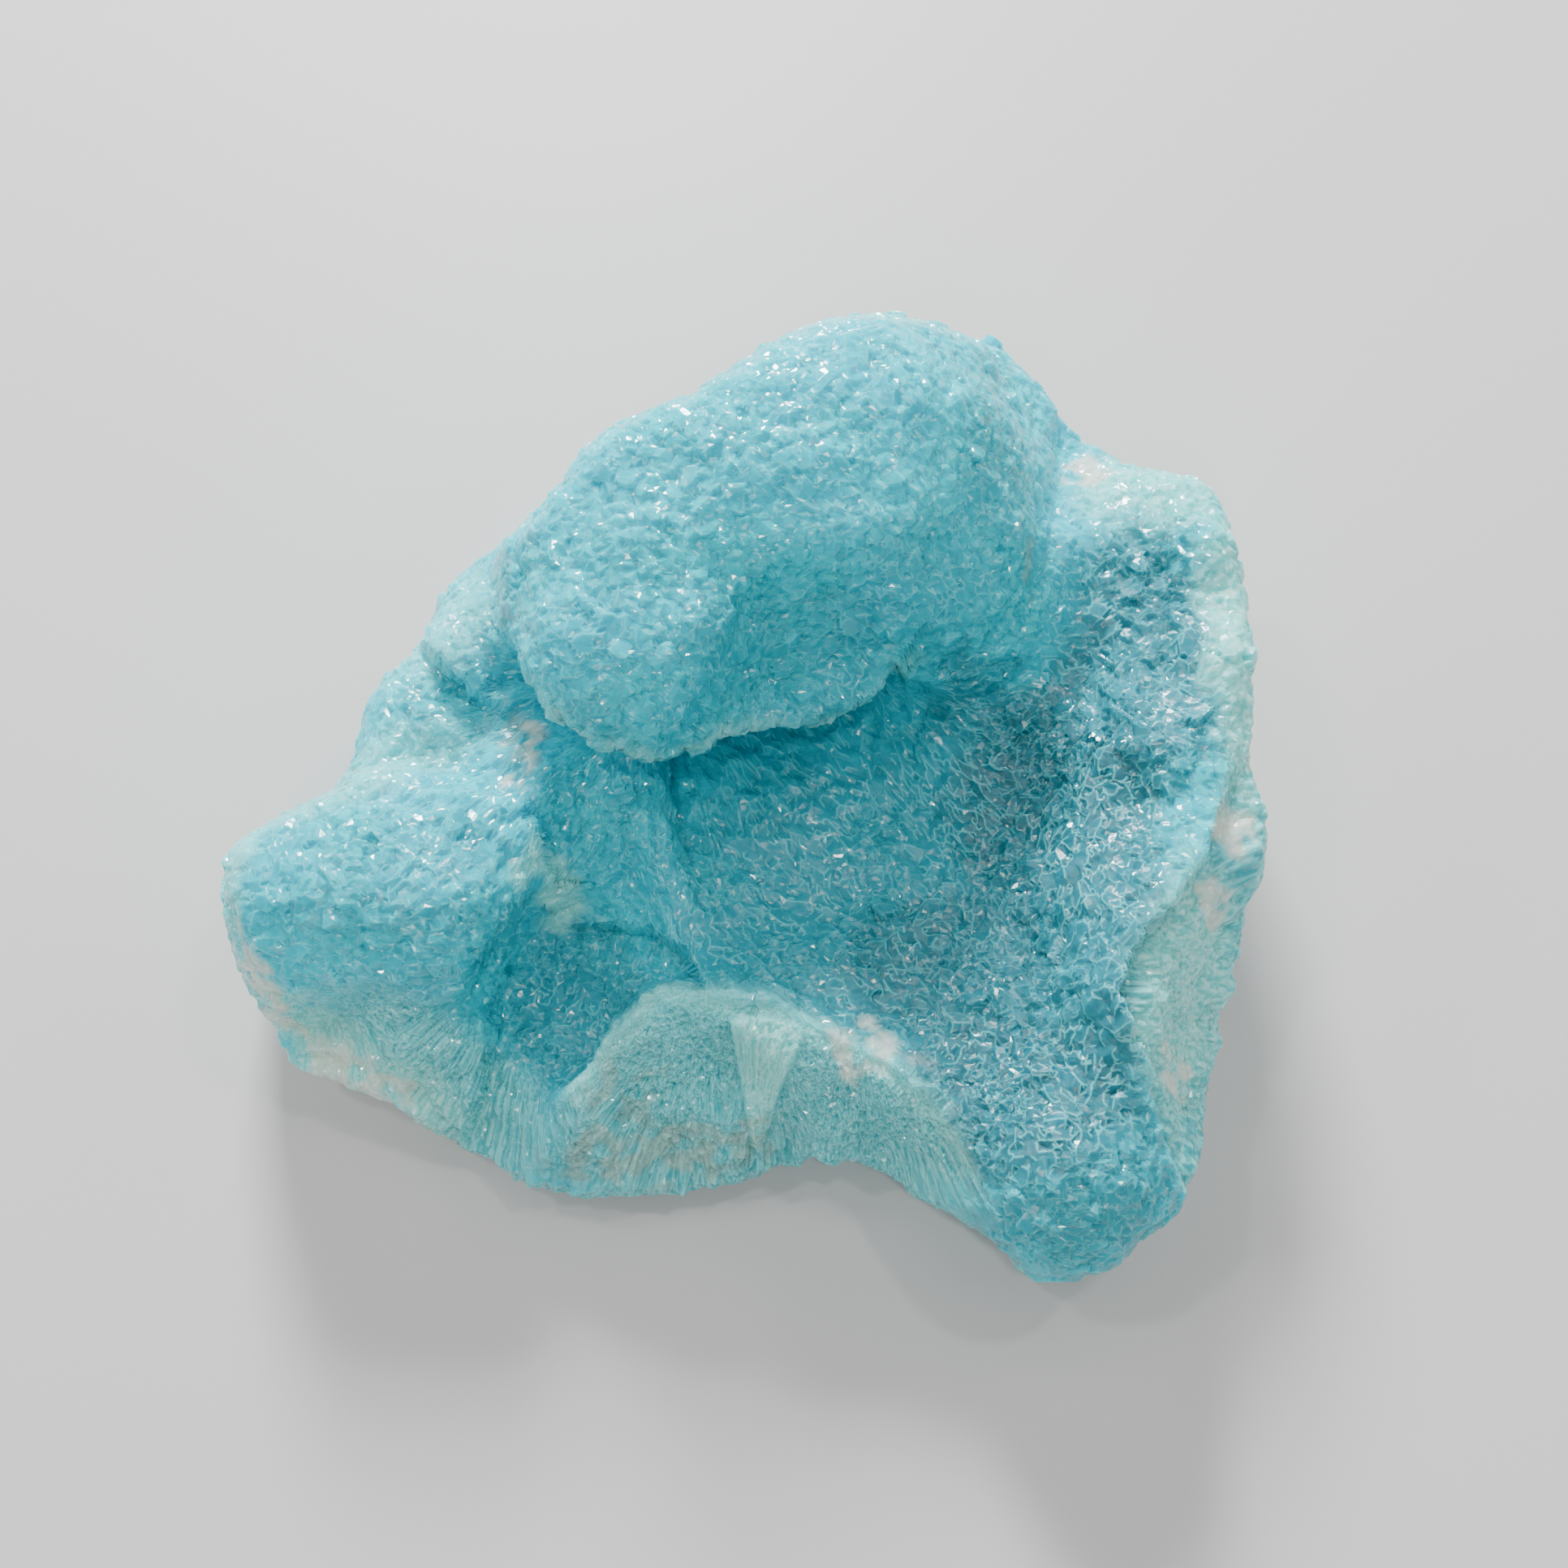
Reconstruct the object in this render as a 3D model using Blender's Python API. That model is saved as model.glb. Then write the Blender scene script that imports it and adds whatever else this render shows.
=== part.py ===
"""A hand specimen of hemimorphite: a thick botryoidal crust of zinc silicate, coated with
tiny crystals, broken all round and lying on its broken back. +Z is the grown front."""

import bmesh
import bpy
import numpy as np

for old in list(bpy.data.objects):
    bpy.data.objects.remove(old, do_unlink=True)

# All lengths are in millimetres until the mesh is made.
GRID = 0.5
TRIANGLES = 9400
CRYSTAL_BUMP = 0.10
SIDE_INSET = 0.16
BACK_HOLLOW = 1.6
APEX = (1.6, -24.7, 77.9)
RIM_LEVEL = 8.0

# The broken outline, clockwise from the left tip, at the height RIM_LEVEL. Higher up the sides
# draw in towards APEX.
OUTLINE = [
    (-25.3, -2.7), (-24.1, -2.0), (-21.4, -0.2), (-20.1, 0.3), (-19.4, 1.7), (-19.4, 4.0),
    (-19.0, 6.1), (-17.7, 7.5), (-16.7, 8.1), (-16.3, 9.6), (-16.1, 11.6), (-15.3, 12.7),
    (-13.6, 13.7), (-12.7, 14.3), (-11.7, 15.3), (-9.9, 17.5), (-9.4, 19.2), (-7.8, 20.9),
    (-4.5, 22.6), (-2.6, 23.2), (-0.5, 25.3), (2.5, 27.4), (5.0, 28.2), (7.4, 28.4),
    (9.8, 27.7), (13.2, 26.3), (14.4, 25.1), (16.0, 22.8), (16.8, 21.2), (17.6, 20.3),
    (18.7, 20.0), (20.2, 18.6), (21.7, 18.5), (24.1, 17.9), (24.7, 16.6), (24.9, 15.2),
    (25.2, 13.2), (25.6, 11.4), (25.3, 7.2), (25.6, 5.6), (25.0, 3.2), (24.8, 0.7),
    (25.6, -0.7), (25.3, -2.3), (24.8, -4.3), (23.8, -5.6), (23.4, -8.3), (22.9, -9.6),
    (22.2, -10.4), (21.6, -13.4), (21.0, -14.1), (21.0, -15.2), (20.6, -16.4), (20.6, -17.6),
    (19.5, -19.2), (17.5, -20.3), (16.6, -21.4), (15.1, -22.1), (13.6, -22.5), (12.6, -22.3),
    (11.3, -20.9), (10.3, -20.1), (7.5, -18.9), (5.8, -17.7), (3.6, -17.3), (1.4, -17.7),
    (-0.3, -18.4), (-3.1, -19.0), (-7.9, -19.2), (-9.2, -18.8), (-10.8, -18.0), (-12.4, -17.0),
    (-13.8, -16.7), (-15.0, -15.7), (-16.3, -14.9), (-18.9, -13.9), (-20.6, -13.5),
    (-21.7, -12.5), (-22.7, -11.2), (-23.4, -9.4), (-24.6, -7.1), (-25.0, -5.4),
]

# Heights of the crust between the lobes: x, y, height.
HEIGHTS = [
    # the floor of the hollow
    (5.9, 3.1, 6.0), (0.5, 0.7, 6.5), (2.9, -4.5, 7.0), (7.4, -0.5, 6.3), (8.7, -7.1, 7.6),
    (2.9, -8.9, 8.3), (12.8, -0.8, 8.3), (12.3, -9.0, 8.8),
    # the valley that climbs from the hollow to the upper right
    (11.1, 5.5, 8.8), (15.2, 4.5, 10.0), (12.3, 9.3, 10.6), (14.7, 13.1, 12.0), (16.9, 16.3, 12.0),
    # the right wall and its rim
    (17.3, -1.7, 11.0), (19.0, 3.8, 12.5), (18.6, 10.1, 12.8), (19.6, 13.5, 13.2),
    (22.3, 12.2, 13.8), (22.8, 5.3, 13.8), (20.4, 0.7, 13.2), (23.6, -2.5, 12.0),
    (19.4, -4.5, 12.4),
    # the broken band outside the right wall
    (17.9, -7.7, 12.0), (23.1, -7.7, 8.5), (17.0, -10.0, 11.6), (22.0, -11.7, 7.0),
    (17.4, -13.4, 10.6), (21.2, -15.0, 6.5),
    # the lower right corner
    (14.1, -17.6, 9.6), (18.1, -17.1, 8.4), (13.7, -20.8, 6.6), (14.6, -22.1, 3.5),
    (10.3, -19.0, 6.0), (10.8, -15.7, 8.8),
    # the ridge along the lower edge, and the break below it
    (-7.8, -14.2, 6.6), (-5.6, -12.0, 8.2), (-3.4, -10.7, 9.0), (-0.5, -10.8, 9.2),
    (2.8, -12.3, 8.9), (6.2, -13.5, 8.6), (8.3, -15.3, 8.0), (-6.3, -15.2, 5.5),
    (-0.9, -14.3, 6.8), (4.4, -14.7, 6.8), (-8.8, -18.6, 2.0), (-3.5, -18.3, 2.2),
    (1.3, -17.0, 2.6), (6.1, -17.1, 3.5),
    # the pocket left of the ridge
    (-8.9, -9.4, 5.0), (-7.4, -7.1, 5.4), (-11.1, -13.3, 4.8), (-12.8, -16.3, 3.0),
    (-4.9, -8.1, 6.4), (-9.1, -14.8, 5.2),
    # under the middle panel and beside it
    (-7.5, -2.1, 6.6), (-7.9, 1.4, 6.5), (-7.3, -5.4, 5.6), (-2.7, -2.8, 6.6), (-2.7, 1.4, 6.8),
    # under the lower left lobe and its broken foot
    (-16.3, -5.6, 8.0), (-15.2, -2.7, 8.0), (-24.6, -3.2, 6.5), (-12.7, -4.1, 6.5),
    (-22.9, -8.7, 6.5), (-16.3, -9.0, 9.4), (-15.6, -11.5, 7.6), (-16.0, -14.6, 3.5),
    (-20.7, -12.4, 4.5), (-12.7, -9.9, 7.6),
    # under the small left lobes and the crevice beside them
    (-14.9, 3.4, 6.5), (-18.8, 3.6, 6.0), (-17.7, 0.2, 6.5), (-12.9, 7.7, 6.5), (-15.6, 9.6, 6.0),
    (-11.7, 3.6, 4.2), (-10.9, 0.0, 5.4), (-12.0, 5.3, 5.0),
    # under the great dome
    (3.0, 14.0, 9.0), (-6.0, 12.0, 8.0), (7.0, 23.0, 14.0), (0.0, 21.0, 13.5), (-5.5, 18.5, 12.5),
    (13.0, 21.0, 13.0), (-9.5, 15.5, 10.0),
]

# Lobes: centre x, y, z, half sizes x, y, z, turn about Z in degrees, squareness, and how far
# the crease round them is filled.
LOBES = [
    (2.2, 14.8, 9.0, 12.2, 10.2, 12.6, 14, 2.2, 2.5),      # great dome
    (9.6, 10.8, 6.2, 6.6, 7.0, 9.2, 20, 2.1, 3.2),         # its right flank
    (-4.8, 12.2, 10.3, 7.8, 7.6, 9.4, 20, 2.2, 3.0),       # its left shoulder
    (-5.8, 5.3, 11.0, 5.2, 5.6, 8.0, 16, 2.7, 2.8),        # nose that hangs from the shoulder
    (2.6, 6.6, 8.0, 6.0, 4.2, 4.2, 16, 2.2, 1.0),          # shelf under the dome
    (-13.3, 8.0, 5.6, 3.6, 5.2, 6.0, -12, 2.2, 0.6),       # upper small lobe
    (-15.3, 4.0, 5.0, 4.7, 3.6, 6.0, 6, 2.2, 0.6),         # lower small lobe
    (-16.2, 0.6, 5.0, 5.0, 2.8, 5.0, 10, 2.2, 0.6),        # saddle below it
    (-17.6, -4.4, 3.8, 9.2, 6.2, 8.8, -6, 2.8, 0.6),       # lower left lobe
    (-7.5, -1.4, 5.0, 3.4, 4.8, 5.2, 4, 2.8, 0.5),         # middle panel
    (14.6, -17.2, 4.0, 5.2, 5.6, 6.6, 0, 2.2, 1.5),        # lower right lobe
    (20.6, 12.8, 6.5, 4.6, 5.4, 7.4, 0, 2.2, 1.5),         # upper right shoulder
]

# Hollows, given in the same way.
HOLLOWS = [
    (3.3, 2.5, 17.6, 4.2, 4.3, 5.7, 24, 2.0, 2.0),         # dip in the dome, above the lip
    (2.2, 1.1, 8.3, 6.4, 3.2, 2.2, 17, 2.0, 0.8),          # undercut below the lip
    (-9.4, -10.6, 7.6, 3.6, 5.0, 3.6, 32, 2.2, 0.8),       # pocket
    (-11.2, 3.4, 8.0, 0.9, 1.6, 4.4, -10, 2.0, 0.5),       # crevice beside the nose
]

# Scoops broken out of the sides below the rim: centre x, y, z and radius.
CHIPS = [
    (-13.5, 19.5, 1.0, 6.0), (-2.0, 29.0, 3.0, 7.5), (11.5, 31.0, 1.5, 7.5), (22.0, 23.5, 2.0, 6.5),
    (30.5, 9.0, 3.0, 6.5), (29.5, -3.0, 0.5, 6.0), (27.0, -12.5, 0.0, 5.0), (22.5, -21.0, 0.5, 4.0),
    (-22.5, 7.5, 1.5, 5.5), (-29.0, -6.0, 1.0, 5.0), (-20.5, -17.0, 0.0, 4.0),
]

# Sharp edges: their thickness, how far they blend in, and the points that they run through.
EDGES = [
    # the lip below the dip
    (0.7, 1.2, [(-3.4, 1.9, 11.0), (-0.2, 2.3, 11.0), (2.9, 3.1, 11.0), (5.3, 3.9, 11.1),
                (7.4, 5.4, 11.4)]),
    # the crest of the ridge along the lower edge
    (0.8, 1.6, [(-8.2, -14.6, 5.8), (-5.8, -12.3, 7.4), (-3.6, -10.9, 8.6), (-0.5, -10.9, 8.8),
                (2.8, -12.4, 8.4), (6.2, -13.6, 8.0), (7.6, -14.8, 7.4)]),
    # the inner edge of the broken band on the right
    (0.8, 1.6, [(19.2, -6.6, 11.8), (17.9, -7.7, 11.4), (16.8, -10.0, 10.8), (17.2, -11.9, 10.4),
                (17.9, -14.9, 9.4)]),
    # the right hand edge of the middle panel
    (0.6, 1.4, [(-5.1, 1.0, 8.0), (-4.7, -2.6, 8.6), (-4.4, -4.9, 8.2), (-3.1, -6.8, 7.4)]),
]


def ellipsoid(x, y, z, lobe):
    """Signed distance, near enough, to one lobe."""
    cx, cy, cz, rx, ry, rz, turn, power = lobe[:8]
    c = np.cos(np.radians(turn))
    s = np.sin(np.radians(turn))
    u = np.abs((x - cx) * c + (y - cy) * s) / rx
    v = np.abs((y - cy) * c - (x - cx) * s) / ry
    w = np.abs(z - cz) / rz
    size = (u**power + v**power + w**power) ** (1 / power)
    return (size - 1) * min(rx, ry, rz)


def join(a, b, k):
    """Two solids fused, their crease filled over the width k."""
    h = np.clip(0.5 + 0.5 * (b - a) / k, 0, 1)
    return b + (a - b) * h - k * h * (1 - h)


def cut(a, b, k):
    """The solid a with b taken out."""
    return -join(-a, b, k)


def distance_to(x, y, z, a, b):
    """Distance to the straight piece from a to b."""
    dx, dy, dz = b[0] - a[0], b[1] - a[1], b[2] - a[2]
    t = (x - a[0]) * dx + (y - a[1]) * dy + (z - a[2]) * dz
    t = np.clip(t / (dx * dx + dy * dy + dz * dz), 0, 1)
    x = x - a[0] - t * dx
    y = y - a[1] - t * dy
    z = z - a[2] - t * dz
    return np.sqrt(x * x + y * y + z * z)


def waves(x, y, z, size, seed, count=14):
    """Smooth lumps of about the given size: a sum of plane waves in all directions."""
    rng = np.random.default_rng(seed)
    total = np.zeros_like(x)
    for _ in range(count):
        way = rng.normal(size=3)
        way *= 2 * np.pi / size / np.linalg.norm(way) * rng.uniform(0.7, 1.4)
        total += np.sin(x * way[0] + y * way[1] + z * way[2] + rng.uniform(0, 6.28))
    return total / np.sqrt(count)


def outline_distance(x, y):
    """Signed distance to OUTLINE in its own plane, negative inside."""
    points = np.array(OUTLINE)
    shape = x.shape
    x = x.ravel()
    y = y.ravel()
    best = np.full(x.shape, 1e9)
    inside = np.zeros(x.shape, bool)
    for (ax, ay), (bx, by) in zip(points, np.roll(points, -1, axis=0)):
        dx = bx - ax
        dy = by - ay
        t = np.clip(((x - ax) * dx + (y - ay) * dy) / (dx * dx + dy * dy), 0, 1)
        best = np.minimum(best, np.hypot(x - ax - t * dx, y - ay - t * dy))
        crosses = (ay > y) != (by > y)
        if dy != 0:
            inside ^= crosses & (x < ax + (y - ay) * dx / dy)
    return np.where(inside, -best, best).reshape(shape)


def crust_height(x, y):
    """Height of the crust between the lobes, from HEIGHTS."""
    total = np.zeros_like(x)
    weight = np.zeros_like(x)
    for hx, hy, height in HEIGHTS:
        w = 1 / ((x - hx) ** 2 + (y - hy) ** 2 + 0.6) ** 2
        total += w * height
        weight += w
    return total / weight


def stone(x, y, z):
    """The whole solid as a signed distance."""
    flat = x[:, :, 0], y[:, :, 0]
    height = crust_height(*flat)[:, :, None]
    body = (z - height) * 0.85
    for lobe in LOBES:
        body = join(body, ellipsoid(x, y, z, lobe), lobe[8])
    for hollow in HOLLOWS:
        body = cut(body, ellipsoid(x, y, z, hollow), hollow[8])
    for thick, blend, line in EDGES:
        for a, b in zip(line, line[1:]):
            body = join(body, distance_to(x, y, z, a, b) - thick, blend)
    body = body + 0.16 * waves(x, y, z, 5.0, 3) + 0.07 * waves(x, y, z, 2.2, 4)
    rim = np.maximum(height - 0.8, 1.6)
    level = np.maximum(z, rim)
    shrink = (APEX[2] - RIM_LEVEL) / (APEX[2] - level)
    around = outline_distance(
        APEX[0] + (x - APEX[0]) * shrink, APEX[1] + (y - APEX[1]) * shrink
    )
    below = np.maximum(rim - z, 0)
    lean = SIDE_INSET * (1 + 0.8 * waves(x, y, z * 0, 11.0, 6))
    rough = 0.35 * np.clip(below / 2.5, 0, 1) * waves(x, y, z, 4.5, 7)
    around = around + lean * below + rough + 0.10 * waves(x, y, z, 2.6, 5)
    body = np.maximum(body, around)
    for cx, cy, cz, radius in CHIPS:
        away = np.sqrt((x - cx) ** 2 + (y - cy) ** 2 + (z - cz) ** 2)
        body = cut(body, away - radius + 4 * np.clip(z - rim + 1.2, 0, 2), 0.5)
    back = BACK_HOLLOW * np.clip(waves(x, y, x * 0, 16.0, 8) * 0.6 - 0.15, 0, 1)
    return np.maximum(body, back - z)


def settle(field):
    """Fills the few grid cells through which the surface would pass twice."""
    corners = [(i, j, k) for i in (0, 1) for j in (0, 1) for k in (0, 1)]
    plain = np.zeros(256, bool)
    for code in range(256):
        inside = [code >> n & 1 for n in range(8)]
        groups = list(range(8))
        for a in range(8):
            for b in range(8):
                near = sum(abs(p - q) for p, q in zip(corners[a], corners[b])) == 1
                if near and inside[a] == inside[b]:
                    old, new = groups[b], groups[a]
                    groups = [new if g == old else g for g in groups]
        plain[code] = len(set(groups)) <= 2
    for _ in range(30):
        code = np.zeros([n - 1 for n in field.shape], int)
        for n, (i, j, k) in enumerate(corners):
            part = field[i:, j:, k:][: code.shape[0], : code.shape[1], : code.shape[2]]
            code += (part < 0).astype(int) << n
        twice = np.argwhere(~plain[code])
        if len(twice) == 0:
            break
        for i, j, k in corners:
            at = tuple((twice + (i, j, k)).T)
            field[at] = np.minimum(field[at], -0.05)
    return field


def skin(field, low, step):
    """Closed quad mesh of the surface where the field is zero, one vertex for each mixed cell."""
    inside = field < 0
    nx, ny, nz = field.shape
    total = np.zeros((nx - 1, ny - 1, nz - 1, 3))
    count = np.zeros((nx - 1, ny - 1, nz - 1))
    grid = np.stack(np.meshgrid(*[np.arange(n) for n in field.shape], indexing="ij"), -1)
    for axis in range(3):
        first = [slice(None)] * 3
        second = [slice(None)] * 3
        first[axis] = slice(None, -1)
        second[axis] = slice(1, None)
        a = field[tuple(first)]
        b = field[tuple(second)]
        mixed = (a < 0) != (b < 0)
        t = np.where(mixed, a / np.where(mixed, a - b, 1), 0)
        point = grid[tuple(first)].astype(float)
        point[..., axis] += t
        point *= mixed[..., None]
        others = [i for i in range(3) if i != axis]
        for p in (0, 1):
            for q in (0, 1):
                pick = [slice(None)] * 3
                pick[others[0]] = slice(p, point.shape[others[0]] - 1 + p)
                pick[others[1]] = slice(q, point.shape[others[1]] - 1 + q)
                total += point[tuple(pick)]
                count += mixed[tuple(pick)]
    used = count > 0
    index = np.full(used.shape, -1)
    index[used] = np.arange(used.sum())
    points = total[used] / count[used][:, None] * step + np.array(low)
    quads = []
    for axis in range(3):
        first = [slice(1, -1)] * 3
        second = [slice(1, -1)] * 3
        first[axis] = slice(None, -1)
        second[axis] = slice(1, None)
        a = inside[tuple(first)]
        b = inside[tuple(second)]
        j, k = [(axis + 1) % 3, (axis + 2) % 3]
        where = np.argwhere(a != b)
        out = a[a != b]
        where[:, j] += 1
        where[:, k] += 1
        ring = []
        for dj, dk in ((-1, -1), (0, -1), (0, 0), (-1, 0)):
            cell = where.copy()
            cell[:, j] += dj
            cell[:, k] += dk
            ring.append(index[tuple(cell.T)])
        ring = np.stack(ring, -1)
        quads.append(np.where(out[:, None], ring, ring[:, ::-1]))
    return points, np.concatenate(quads)


low = (-28.0, -25.0, -1.0)
high = (28.0, 30.0, 25.0)
axes = [np.arange(a + GRID * 0.31, b, GRID) for a, b in zip(low, high)]
field = settle(stone(*np.meshgrid(*axes, indexing="ij")))
points, quads = skin(field, [a[0] for a in axes], GRID)

mesh = bpy.data.meshes.new("hemimorphite")
mesh.from_pydata(points.tolist(), [], quads.tolist())
bm = bmesh.new()
bm.from_mesh(mesh)

# Only the largest body is kept, should a crumb have come loose.
bm.verts.ensure_lookup_table()
seen = set()
bodies = []
for start in bm.verts:
    if start in seen:
        continue
    body = {start}
    stack = [start]
    while stack:
        for edge in stack.pop().link_edges:
            for vert in edge.verts:
                if vert not in body:
                    body.add(vert)
                    stack.append(vert)
    seen |= body
    bodies.append(body)
bodies.sort(key=len)
for body in bodies[:-1]:
    bmesh.ops.delete(bm, geom=list(body), context="VERTS")

# The back is flat where it touches the ground, and the front is roughened by its crystals.
bm.normal_update()
bm.verts.ensure_lookup_table()
rng = np.random.default_rng(11)
bumps = rng.uniform(-1, 1, len(bm.verts))
moves = []
for vert, bump in zip(bm.verts, bumps):
    if vert.co.z < 0.12:
        moves.append((vert, None))
    else:
        moves.append((vert, vert.normal * (bump * CRYSTAL_BUMP)))
for vert, move in moves:
    if move is None:
        vert.co.z = 0
    else:
        vert.co += move
bmesh.ops.triangulate(bm, faces=bm.faces[:])
bm.to_mesh(mesh)
bm.free()

stone_object = bpy.data.objects.new("hemimorphite", mesh)
bpy.context.collection.objects.link(stone_object)
thin = stone_object.modifiers.new("fewer faces", "DECIMATE")
thin.ratio = TRIANGLES / len(mesh.polygons)
graph = bpy.context.evaluated_depsgraph_get()
small = bpy.data.meshes.new_from_object(stone_object.evaluated_get(graph))
stone_object.modifiers.clear()
stone_object.data = small
small.name = "hemimorphite"

for vert in small.vertices:
    if vert.co.z < 0.1:
        vert.co.z = 0
corners = np.array([vert.co for vert in small.vertices])
middle = (corners.min(axis=0) + corners.max(axis=0)) / 2
for vert in small.vertices:
    vert.co.x = (vert.co.x - middle[0]) * 0.001
    vert.co.y = (vert.co.y - middle[1]) * 0.001
    vert.co.z = vert.co.z * 0.001
small.update()

skin_material = bpy.data.materials.new("hemimorphite crystal")
skin_material.use_nodes = True
shader = skin_material.node_tree.nodes["Principled BSDF"]
shader.inputs["Base Color"].default_value = (0.13, 0.50, 0.58, 1)
shader.inputs["Roughness"].default_value = 0.3
shader.inputs["IOR"].default_value = 1.61
small.materials.append(skin_material)
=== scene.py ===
import math

import bpy
import numpy as np
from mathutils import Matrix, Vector, noise
from mathutils.bvhtree import BVHTree
from mathutils.kdtree import KDTree


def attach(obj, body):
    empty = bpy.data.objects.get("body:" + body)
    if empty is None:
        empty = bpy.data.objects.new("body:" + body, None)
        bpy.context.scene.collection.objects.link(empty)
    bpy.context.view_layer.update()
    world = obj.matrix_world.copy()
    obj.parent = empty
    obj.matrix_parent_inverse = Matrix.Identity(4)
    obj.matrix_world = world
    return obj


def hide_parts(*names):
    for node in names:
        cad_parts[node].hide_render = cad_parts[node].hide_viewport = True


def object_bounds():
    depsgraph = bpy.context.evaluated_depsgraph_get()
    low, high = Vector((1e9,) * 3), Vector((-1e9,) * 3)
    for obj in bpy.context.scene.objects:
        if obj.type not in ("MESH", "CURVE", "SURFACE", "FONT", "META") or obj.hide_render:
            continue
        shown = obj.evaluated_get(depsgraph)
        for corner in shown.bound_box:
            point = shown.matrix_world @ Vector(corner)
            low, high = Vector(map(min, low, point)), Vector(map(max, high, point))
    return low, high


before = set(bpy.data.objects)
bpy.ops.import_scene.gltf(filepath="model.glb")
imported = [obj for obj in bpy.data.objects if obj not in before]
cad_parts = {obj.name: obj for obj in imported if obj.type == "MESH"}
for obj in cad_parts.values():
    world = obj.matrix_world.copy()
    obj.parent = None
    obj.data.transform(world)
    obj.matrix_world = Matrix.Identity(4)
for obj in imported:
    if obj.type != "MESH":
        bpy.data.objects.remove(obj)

cad_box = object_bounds()
MM = 0.001


# The camera.
# It looks down on the grown front from the side of the broken lower edge, from close by.
view_rise = math.radians(70)
aim = Vector((2.38, -0.24, 8.0)) * MM
away = 74.4 * MM
look = Vector((0, -math.cos(view_rise), math.sin(view_rise)))
camera_data = bpy.data.cameras.new("camera")
camera_data.sensor_width = 36
camera_data.lens = 34.66
camera_data.clip_start = 0.002
camera = bpy.data.objects.new("camera", camera_data)
bpy.context.scene.collection.objects.link(camera)
camera.location = aim + look * away
camera.rotation_euler = look.to_track_quat("Z", "Y").to_euler()
bpy.context.scene.camera = camera


# The bed of the crust.
# The stone is one grown body of zinc silicate. Its solid is smoothed and parted into a fine even
# skin, which the crystals on the front and the fibres on the breaks are then raised from.
BED_STEP = 0.32
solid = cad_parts["hemimorphite"]


def evaluated(thing):
    """The thing's mesh with its modifiers applied; the thing itself is removed."""
    bpy.context.view_layer.update()
    graph = bpy.context.evaluated_depsgraph_get()
    made = bpy.data.meshes.new_from_object(thing.evaluated_get(graph))
    bpy.data.objects.remove(thing)
    return made


def arrays(mesh):
    """Vertices in millimetres, vertex normals and triangles."""
    points = np.empty(len(mesh.vertices) * 3)
    mesh.vertices.foreach_get("co", points)
    normals = np.empty(len(mesh.vertices) * 3)
    mesh.vertex_normals.foreach_get("vector", normals)
    mesh.calc_loop_triangles()
    triangles = np.empty(len(mesh.loop_triangles) * 3, int)
    mesh.loop_triangles.foreach_get("vertices", triangles)
    return points.reshape(-1, 3) / MM, normals.reshape(-1, 3), triangles.reshape(-1, 3)


def unit(v):
    """Rows of v made one long."""
    return v / np.maximum(np.linalg.norm(v, axis=-1, keepdims=True), 1e-12)


def dots(a, b):
    """The dot product of each row of a with the same row of b."""
    return (a * b).sum(axis=-1)


def ramp(x, low, high):
    """0 below low, 1 above high, and a soft rise between."""
    t = np.clip((x - low) / (high - low), 0, 1)
    return t * t * (3 - 2 * t)


def cloud(points, scale, seed=0.0):
    """Smooth noise from -1 to 1 at each point; scale is the size of its lumps in millimetres."""
    spots = points / scale + np.array([seed, 2 * seed, -seed])
    return np.array([noise.noise(spot) for spot in spots])


bed_object = bpy.data.objects.new("bed", solid.data.copy())
bpy.context.scene.collection.objects.link(bed_object)
weld = bed_object.modifiers.new("weld", "WELD")
weld.merge_threshold = 0.000001
soften = bed_object.modifiers.new("soften", "SMOOTH")
soften.factor = 0.5
soften.iterations = 3
remesh = bed_object.modifiers.new("remesh", "REMESH")
remesh.mode = "VOXEL"
remesh.voxel_size = BED_STEP * MM
even = bed_object.modifiers.new("even", "SMOOTH")
even.factor = 0.5
even.iterations = 4
finer = bed_object.modifiers.new("finer", "SUBSURF")
finer.levels = 1
corners = bed_object.modifiers.new("corners", "TRIANGULATE")
bed = evaluated(bed_object)
points, normals, triangles = arrays(bed)

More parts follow.
